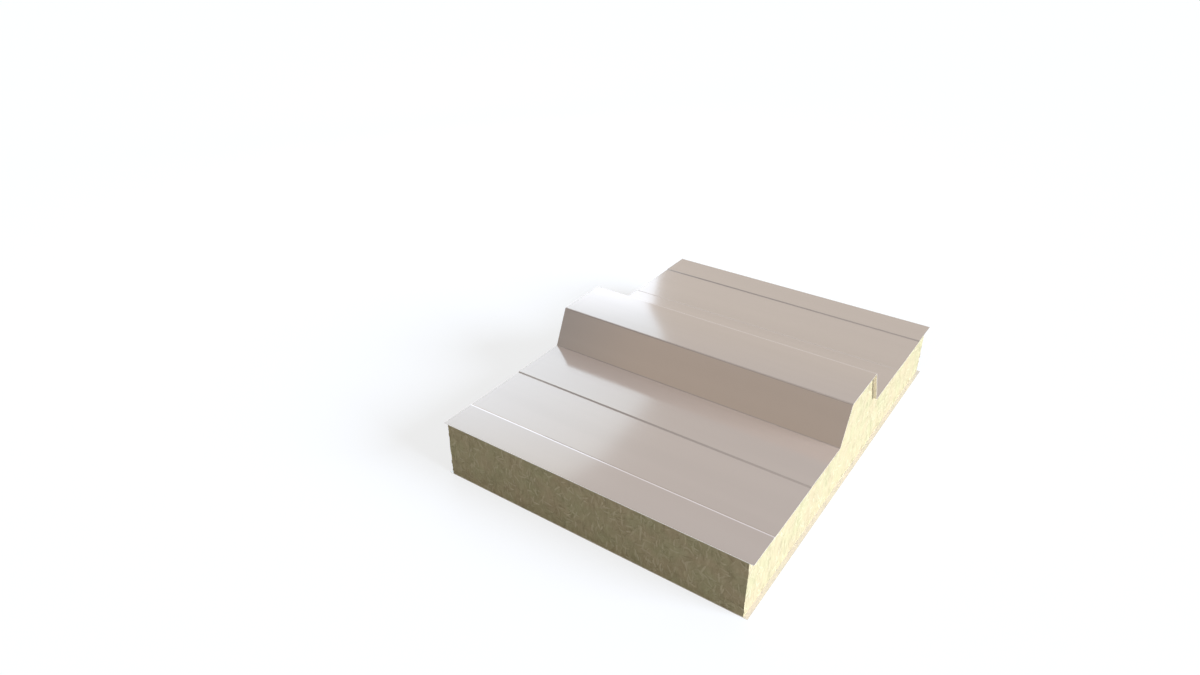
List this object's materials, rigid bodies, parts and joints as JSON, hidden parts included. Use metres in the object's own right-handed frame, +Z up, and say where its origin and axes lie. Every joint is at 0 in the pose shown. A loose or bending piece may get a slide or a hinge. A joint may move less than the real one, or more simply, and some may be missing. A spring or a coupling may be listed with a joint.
{
  "type": "insulated sandwich panel",
  "caption": "Insulated roof panel: ribbed steel weather sheet and flat steel liner bonded to a mineral wool core, for cladding a roof.",
  "frame": {"origin": "centre of the panel's underside, on the liner sheet's lower face", "axes": "+X along the rib, +Y across the rib, +Z up through the panel towards the weather sheet"},
  "size_m": [0.325, 0.45, 0.0992],
  "materials": {
    "outer_sheet": "smooth satin steel, warm silver, soft reflections",
    "mineral_wool_core": "cut mineral wool, olive brown, matt and fibrous",
    "inner_sheet": "smooth satin steel, warm silver, soft reflections"
  },
  "bodies": {
    "root": {"outer_sheet": "outer_sheet", "mineral_wool_core": "mineral_wool_core", "inner_sheet": "inner_sheet"}
  },
  "joints": []
}
